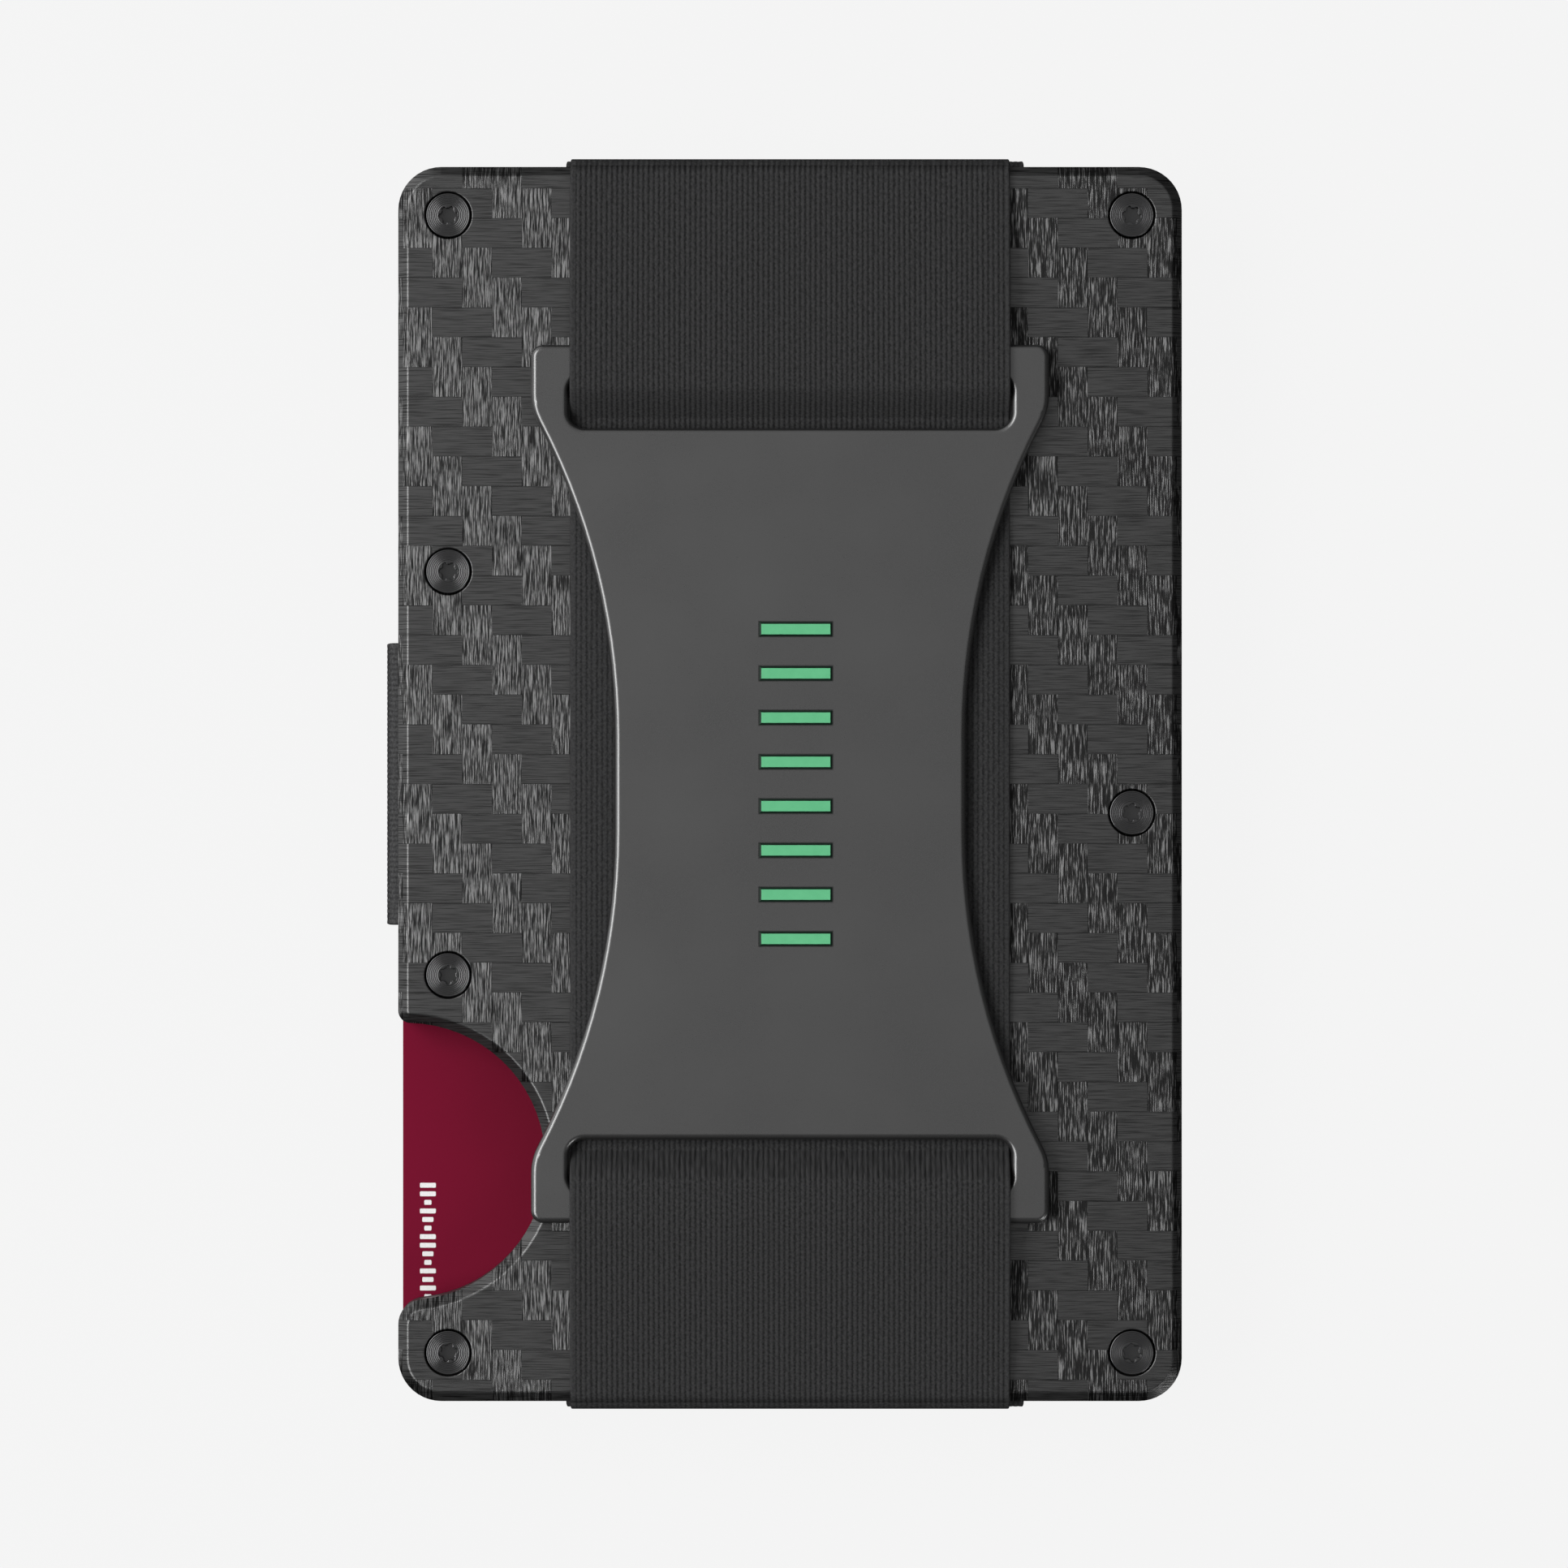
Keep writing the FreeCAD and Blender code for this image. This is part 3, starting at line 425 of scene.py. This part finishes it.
def bent_path(corners, radii, spacing, closed):
    """Points along straight runs and the arcs that join them. An open path keeps its two ends."""
    count = len(corners)
    arcs = []
    for i, (corner, radius) in enumerate(zip(corners, radii)):
        if closed or 0 < i < count - 1:
            arcs.append(rounded_corner(corners[i - 1], corner, corners[(i + 1) % count], radius))
        else:
            arcs.append([corner])
    points = []
    for i, arc in enumerate(arcs):
        points += arc
        if closed or i < count - 1:
            end = arcs[(i + 1) % count][0]
            pieces = math.ceil((end - arc[-1]).length / spacing)
            points += [arc[-1].lerp(end, k / pieces) for k in range(1, pieces)]
    return points


def path_normals(points, closed):
    """The direction to the left of the path's travel at each point."""
    normals = []
    last = len(points) - 1
    for i in range(len(points)):
        before = points[i - 1] if closed or i > 0 else points[0]
        after = points[(i + 1) % len(points)] if closed or i < last else points[last]
        along = (after - before).normalized()
        normals.append(Vector((-along.y, along.x)))
    return normals


def band_section(half_width, thickness, rib_depth):
    """A band's outline across its length: rounded edges, ribs on the outer face, plain inside."""
    half = thickness / 2
    edge_depth = 0.12 * MM
    steps_per_rib = 8
    inside_steps = 24
    flat = half_width - edge_depth
    edge = [(flat + edge_depth * math.cos(a), half * math.sin(a))
            for a in (math.radians(-90 + 22.5 * k) for k in range(1, 8))]
    first = first_groove(half_width)
    ribbed = []
    for k in range(2 * round(first / RIB_PITCH) * steps_per_rib + 1):
        groove = (0.5 + 0.5 * math.cos(2 * math.pi * k / steps_per_rib)) ** 2
        ribbed.append((first - k * RIB_PITCH / steps_per_rib, half - rib_depth * groove))
    half_groove = RIB_PITCH / 2
    right_selvedge = [(flat, half), (first + half_groove, half)]
    left_selvedge = [(-across, out) for across, out in reversed(right_selvedge)]
    other_edge = [(-across, -out) for across, out in edge]
    inside = [(-flat + 2 * flat * k / inside_steps, -half) for k in range(inside_steps + 1)]
    return edge + right_selvedge + ribbed + left_selvedge + other_edge + inside


def ribbed_band(name, points, closed, box, thickness, rib_depth, along_x, material):
    """A knitted elastic band along a path, with real ribs on the path's left side."""
    low, high = (box[0].y, box[1].y) if along_x else (box[0].x, box[1].x)
    middle = (low + high) / 2
    section = band_section((high - low) / 2, thickness, rib_depth)
    ring = len(section)
    vertices = []
    for point, normal in zip(points, path_normals(points, closed)):
        for across, out in section:
            spot = point + normal * out
            side = middle + across
            vertices.append((spot.x, side, spot.y) if along_x else (side, spot.x, spot.y))
    rows = len(points) if closed else len(points) - 1
    faces = []
    for i in range(rows):
        here, there = i * ring, (i + 1) % len(points) * ring
        for k in range(ring):
            following = (k + 1) % ring
            faces.append((here + k, here + following, there + following, there + k))
    if not closed:
        faces += [tuple(reversed(range(ring))), tuple(range(rows * ring, (rows + 1) * ring))]
    if along_x:
        faces = [tuple(reversed(face)) for face in faces]
    return new_piece(name, vertices, faces, material)


# --- elastic bands ------------------------------------------------------------------------------


def stretch_between_halves(band):
    """The band lies along the back half behind the cards and the front half in front of them; here
    its place is only baked into its mesh.
    """
    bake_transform(band)


def build_end_band():
    """The loop round both halves, over both short ends."""
    half = BAND_THICKNESS / 2
    low, high = end_box
    reach = high.y - half
    back = low.z + half
    front = high.z - half
    corners = [Vector(c) for c in ((-reach, back), (-reach, front), (reach, front), (reach, back))]
    points = bent_path(corners, [BAND_BEND] * 4, END_BAND_ROW_SPACING, closed=True)
    band = ribbed_band("end_band_elastic", points, True, end_box, BAND_THICKNESS, BAND_RIB_DEPTH,
                       False, end_fabric)
    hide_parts("end_band")
    stretch_between_halves(band)


def build_side_band():
    """The elastic round the left long side, with its two ends hidden in the halves."""
    half = BAND_THICKNESS / 2
    low, high = side_box
    reach = low.x + half
    end = high.x
    back = low.z + half
    front = high.z - half
    corners = [Vector(c) for c in ((end, back), (reach, back), (reach, front), (end, front))]
    points = bent_path(corners, [BAND_BEND] * 4, ROW_SPACING, closed=False)
    band = ribbed_band("side_band_elastic", points, False, side_box, BAND_THICKNESS,
                       BAND_RIB_DEPTH, True, side_fabric)
    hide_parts("side_band")
    stretch_between_halves(band)


def crossing(point, direction, other_point, other_direction):
    """Where two lines in one plane cross."""
    gap = other_point - point
    share = gap.cross(other_direction) / direction.cross(other_direction)
    return point + direction * share


def strap_corners():
    """The corners of one half of the strap's loop as (Y, Z), from under the cover, round its
    end, over the buckle's bar, down through the slot and in under the buckle."""
    offset = STRAP_THICKNESS / 2 + STRAP_GAP
    end = cover_high.y
    level = Vector((1, 0))
    upright = Vector((0, 1))
    bevel_start = Vector((end, cover_high.z - PLATE_BEVEL))
    bevel_end = Vector((end - PLATE_BEVEL, cover_high.z))
    bevel = (bevel_end - bevel_start).normalized()
    bevel_line = bevel_start + Vector((bevel.y, -bevel.x)) * offset
    bar_outer = Vector((buckle_high.y, buckle_high.z))
    ramp = (bar_outer - bevel_end).normalized()
    ramp_line = bevel_end + Vector((ramp.y, -ramp.x)) * offset
    bar_inner = Vector((SLOT_OUTER - SLOT_CORNER_RELIEF, buckle_high.z))
    plate_edge = Vector((SLOT_INNER + SLOT_CORNER_RELIEF, buckle_low.z))
    drop = bar_inner - plate_edge
    steepness = math.atan2(drop.y, drop.x) + math.asin(2 * offset / drop.length)
    dive = Vector((-math.cos(steepness), -math.sin(steepness)))
    dive_line = bar_inner + Vector((dive.y, -dive.x)) * offset
    below = Vector((0, cover_low.z - offset))
    over_bar = Vector((0, buckle_high.z + offset))
    under_plate = Vector((0, buckle_low.z - offset))
    wrap = Vector((end + offset, 0))
    return [
        crossing(wrap, upright, below, level),
        crossing(wrap, upright, bevel_line, bevel),
        crossing(bevel_line, bevel, ramp_line, ramp),
        crossing(ramp_line, ramp, over_bar, level),
        crossing(over_bar, level, dive_line, dive),
        crossing(dive_line, dive, under_plate, level),
    ]


def build_strap():
    """The strap's return under the cover, its two runs up to the buckle,
    and the run under the plate. The plate hides where the runs meet."""
    bottom_corner, wrap_corner, bevel_corner, bar_outer, bar_inner, plate_edge = strap_corners()
    join = wrap_corner.lerp(bevel_corner, 0.5)
    hidden_join = Vector((plate_edge.x - HIDDEN_JOIN_INSET, plate_edge.y))
    mirror = Vector((-1, 1))

    def strap_piece(name, corners, radii):
        points = bent_path(corners, radii, ROW_SPACING, closed=False)
        piece = ribbed_band(name, points, False, strap_box, STRAP_THICKNESS, STRAP_RIB_DEPTH,
                            False, strap_fabric)
        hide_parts("cash_strap")
        return piece

    half_return = [join, wrap_corner, bottom_corner]
    whole_return = [corner * mirror for corner in half_return]
    whole_return = half_return + whole_return[::-1]
    radii = [0, STRAP_BEND, COVER_EDGE_BEND, COVER_EDGE_BEND, STRAP_BEND, 0]
    back_run = strap_piece("cash_strap_return", whole_return[::-1], radii)
    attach(back_run, "front_half")
    under_run = strap_piece("cash_strap_middle", [hidden_join * mirror, hidden_join][::-1], [0, 0])
    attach(under_run, "buckle")
    for name, side in (("cash_strap_upper", 1), ("cash_strap_lower", -1)):
        run = [join, bevel_corner, bar_outer, bar_inner, plate_edge, hidden_join]
        run = [corner * Vector((side, 1)) for corner in run]
        radii = [0, STRAP_BEND, STRAP_BEND, STRAP_BEND, STRAP_BEND, 0]
        piece = strap_piece(name, run if side == -1 else run[::-1], radii)
        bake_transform(piece)


# --- screws -------------------------------------------------------------------------------------

# A countersunk screw's sizes in millimetres. Its head is wider than the frame's by HEAD_SPREAD.
HEAD_SPREAD = 0.045
HEAD_LAND = 0.45
SHANK_RADIUS = 1.0
RECESS_CORE = 0.5
RECESS_LOBE = 0.16
RECESS_DEPTH = 0.6
TURNING_PITCH = 0.12
TURNING_DEPTH = 0.014
SCREW_ANGLES = 96

# Faces whose middles are nearer than this to each other, seen from above, are of one screw.
SCREW_REACH = 3 * MM


def recess_radius(angle):
    """The six-lobed recess: a round core with a round lobe every sixty degrees."""
    spread = math.radians(60)
    offset = (angle + spread / 2) % spread - spread / 2
    inside = RECESS_LOBE ** 2 - (RECESS_CORE * math.sin(offset)) ** 2
    if inside <= 0:
        return RECESS_CORE
    return RECESS_CORE * math.cos(offset) + math.sqrt(inside)


def screw_rings(head_radius, length):
    """The screw's profile as (share of the recess's outline, radius, height) of each ring."""
    floor = -RECESS_DEPTH
    rings = [(0.96, 0.0, floor), (0.99, 0.0, floor), (1.0, 0.0, floor + 0.01),
             (1.0, 0.0, floor + 0.05), (1.0, 0.0, -0.03), (1.02, 0.0, -0.006), (1.05, 0.0, 0.0)]
    first = RECESS_CORE + RECESS_LOBE + 0.06
    last = head_radius - 0.08
    count = round((last - first) / TURNING_PITCH)
    steps = 6
    for k in range(count * steps + 1):
        depth = TURNING_DEPTH * (0.5 - 0.5 * math.cos(2 * math.pi * k / steps))
        rings.append((0.0, first + (last - first) * k / (count * steps), -depth))
    rings += [(0.0, head_radius - 0.03, -0.006), (0.0, head_radius, -0.04),
              (0.0, head_radius, HEAD_SPREAD - HEAD_LAND),
              (0.0, SHANK_RADIUS, SHANK_RADIUS - head_radius + HEAD_SPREAD - HEAD_LAND),
              (0.0, SHANK_RADIUS, 0.12 - length), (0.0, SHANK_RADIUS - 0.12, -length)]
    return rings


def screw_mesh(head_radius, length):
    """A screw's vertices and faces, with the middle of its head's face at the origin."""
    vertices = [(0, 0, -RECESS_DEPTH * MM)]
    rings = screw_rings(head_radius, length)
    for share, radius, height in rings:
        for k in range(SCREW_ANGLES):
            angle = 2 * math.pi * k / SCREW_ANGLES
            reach = share * recess_radius(angle) if share else radius
            spot = (reach * math.cos(angle), reach * math.sin(angle), height)
            vertices.append(tuple(c * MM for c in spot))
    faces = []
    for k in range(SCREW_ANGLES):
        following = (k + 1) % SCREW_ANGLES
        faces.append((0, 1 + k, 1 + following))
        for i in range(len(rings) - 1):
            inner = 1 + i * SCREW_ANGLES
            outer = inner + SCREW_ANGLES
            faces.append((inner + k, outer + k, outer + following, inner + following))
    last = 1 + (len(rings) - 1) * SCREW_ANGLES
    faces.append(tuple(reversed(range(last, last + SCREW_ANGLES))))
    return vertices, faces


def solid_boxes(node):
    """The box of each separate solid of a CAD node, from points that share faces."""
    mesh = node.data
    boxes = []
    for polygon in mesh.polygons:
        points = [mesh.vertices[i].co for i in polygon.vertices]
        low = Vector([min(p[axis] for p in points) for axis in range(3)])
        high = Vector([max(p[axis] for p in points) for axis in range(3)])
        middle = (low + high) / 2
        apart = []
        for other_low, other_high in boxes:
            gap = ((other_low + other_high) / 2 - middle).to_2d().length
            if gap < SCREW_REACH:
                low = Vector(map(min, low, other_low))
                high = Vector(map(max, high, other_high))
            else:
                apart.append((other_low, other_high))
        boxes = apart + [(low, high)]
    return sorted(boxes, key=lambda box: (round(box[0].x, 4), round(box[0].y, 4)))


def build_screws():
    """Every screw, each tightened to its own number of degrees."""
    turns = (12, 31, 57, 5, 38, 22, 50)
    for half, face_up in (("front", True), ("back", False)):
        node_name = f"{half}_screws"
        boxes = solid_boxes(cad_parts[node_name])
        for number, ((low, high), turn) in enumerate(zip(boxes, turns), start=1):
            head_radius = (high.x - low.x) / 2 / MM + HEAD_SPREAD
            vertices, faces = screw_mesh(head_radius, (high.z - low.z) / MM)
            name = f"{half}_screw_{number}"
            screw = new_piece(name, vertices, faces, screw_steel)
            middle = (low + high) / 2
            screw.location = (middle.x, middle.y, high.z if face_up else low.z)
            screw.rotation_euler = (0 if face_up else math.pi, 0, math.radians(turn))
            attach(screw, f"{half}_half")
            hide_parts(node_name)


# --- print on the card --------------------------------------------------------------------------

# The row of ticks on the red card, in millimetres: where it runs and the size of a long tick.
TICK_ROW_X = -25.36
TICK_ROW_TOP = -28.1
TICK_PITCH = 0.6
TICK_HALF_LENGTH = 0.56
TICK_HALF_WIDTH = 0.17
TICK_CORNER = 0.08
INK_THICKNESS = 0.008


def rounded_bar(centre_x, centre_y, half_x, half_y, radius, base, top):
    """The vertices and faces of one flat bar with rounded corners."""
    steps = 5
    outline = []
    for sx, sy, start in ((1, 1, 0), (-1, 1, 90), (-1, -1, 180), (1, -1, 270)):
        for k in range(steps + 1):
            angle = math.radians(start + 90 * k / steps)
            outline.append((centre_x + sx * (half_x - radius) + radius * math.cos(angle),
                            centre_y + sy * (half_y - radius) + radius * math.sin(angle)))
    count = len(outline)
    vertices = [(x, y, z) for z in (base, top) for x, y in outline]
    faces = [tuple(reversed(range(count))), tuple(range(count, 2 * count))]
    for k in range(count):
        following = (k + 1) % count
        faces.append((k, following, count + following, count + k))
    return vertices, faces


def build_card_marks():
    """A row of plain printed ticks near the red card's edge, where its number would be."""
    vertices, faces = [], []
    lengths = (1, 1, 0.45, 1, 0.7, 0.45, 1, 1, 0.7, 0.45, 1, 0.7, 1, 0.45)
    top = card_face + INK_THICKNESS * MM
    for k, share in enumerate(lengths):
        middle_y = (TICK_ROW_TOP - TICK_PITCH * k) * MM
        more, more_faces = rounded_bar(TICK_ROW_X * MM, middle_y, TICK_HALF_LENGTH * share * MM,
                                       TICK_HALF_WIDTH * MM, TICK_CORNER * MM, card_face, top)
        start = len(vertices)
        vertices += more
        faces += [tuple(i + start for i in face) for face in more_faces]
    marks = new_piece("card_marks", vertices, faces, ink, smooth=False)
    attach(marks, "top_card")


build_end_band()
build_side_band()
build_strap()
build_screws()
build_card_marks()

# --- stage --------------------------------------------------------------------------------------

# The tone of the floor and of what the camera sees past it.
STAGE_TONE = 0.905


def build_floor():
    """A pale floor that mostly glows, so that it stays one tone, with faint soft shadows."""
    material = bpy.data.materials.new("pale_floor")
    material.use_nodes = True
    surface = material.node_tree.nodes["Principled BSDF"]
    shadow_share = 0.02
    glow = STAGE_TONE - shadow_share
    surface.inputs["Base Color"].default_value = (shadow_share, shadow_share, shadow_share, 1)
    surface.inputs["Specular IOR Level"].default_value = 0
    surface.inputs["Emission Color"].default_value = (glow, glow, glow, 1)
    surface.inputs["Emission Strength"].default_value = 1
    half = 3.0
    height = -0.02 * MM
    mesh = bpy.data.meshes.new("floor")
    corners = [(x * half, y * half, height) for x, y in ((-1, -1), (1, -1), (1, 1), (-1, 1))]
    mesh.from_pydata(corners, [], [(0, 1, 2, 3)])
    mesh.materials.append(material)
    floor = bpy.data.objects.new("floor", mesh)
    bpy.context.scene.collection.objects.link(floor)
    floor.visible_glossy = False


# How bright the surroundings are, the level direction of their brightest part, and the cosine
# of the angle from it at which they are dim again.
WORLD_DIM = 0.07
WORLD_BRIGHT = 1.45
WORLD_TOWARD = (-0.87, 0.5, 0.0)
WORLD_SPREAD = 0.55


def build_world():
    """Pale where the camera looks past the floor; for lighting, dim but for one bright side."""
    world = bpy.data.worlds.new("studio")
    bpy.context.scene.world = world
    world.use_nodes = True
    tree = world.node_tree
    background = tree.nodes["Background"]
    direction = tree.nodes.new("ShaderNodeTexCoord")
    toward = tree.nodes.new("ShaderNodeVectorMath")
    toward.operation = "DOT_PRODUCT"
    tree.links.new(direction.outputs["Generated"], toward.inputs[0])
    toward.inputs[1].default_value = WORLD_TOWARD
    brightness = tree.nodes.new("ShaderNodeMapRange")
    tree.links.new(toward.outputs["Value"], brightness.inputs[0])
    for key, value in {1: WORLD_SPREAD, 2: 1.0, 3: WORLD_DIM, 4: WORLD_BRIGHT}.items():
        brightness.inputs[key].default_value = value
    seen = tree.nodes.new("ShaderNodeLightPath")
    choose = tree.nodes.new("ShaderNodeMix")
    tree.links.new(seen.outputs["Is Camera Ray"], choose.inputs[0])
    tree.links.new(brightness.outputs[0], choose.inputs[2])
    choose.inputs[3].default_value = STAGE_TONE
    tree.links.new(choose.outputs[0], background.inputs["Color"])


def add_softbox(name, place, width, height, radiance):
    """An area light aimed at the object; width runs level, height the other way."""
    light = bpy.data.lights.new(name, "AREA")
    light.shape = "RECTANGLE"
    light.size = width
    light.size_y = height
    light.energy = radiance * math.pi * width * height
    softbox = bpy.data.objects.new(name, light)
    softbox.location = place
    softbox.rotation_euler = (-Vector(place)).to_track_quat("-Z", "Y").to_euler()
    softbox.visible_camera = False
    bpy.context.scene.collection.objects.link(softbox)


def build_lights():
    """The left softbox is the key light. The low one is there for the bevels of the lower right
    corner, which turn its light up to the camera."""
    add_softbox("left_softbox", (-0.4, 0.03, 0.51), 0.7, 0.3, 7.1)
    add_softbox("top_softbox", (0.0, 0.55, 0.95), 1.2, 2.0, 0.45)
    add_softbox("fill_softbox", (0.38, -0.48, 0.43), 0.2, 0.2, 6.0)
    add_softbox("corner_softbox", (0.71, -0.71, 0.06), 0.6, 0.1, 7.5)


def build_camera():
    """Straight above the wallet, far enough off for the weak perspective of a long lens."""
    camera = bpy.data.cameras.new("camera")
    camera.sensor_width = 36.0
    distance = 0.6
    sideways = -0.42 * MM
    frame_width = 109.15 * MM
    camera.lens = camera.sensor_width * distance / frame_width
    viewer = bpy.data.objects.new("camera", camera)
    viewer.location = (sideways, 0.0, cover_high.z + distance)
    bpy.context.scene.collection.objects.link(viewer)
    bpy.context.scene.camera = viewer


build_floor()
build_world()
build_lights()
build_camera()
bpy.context.scene.view_settings.view_transform = "Standard"
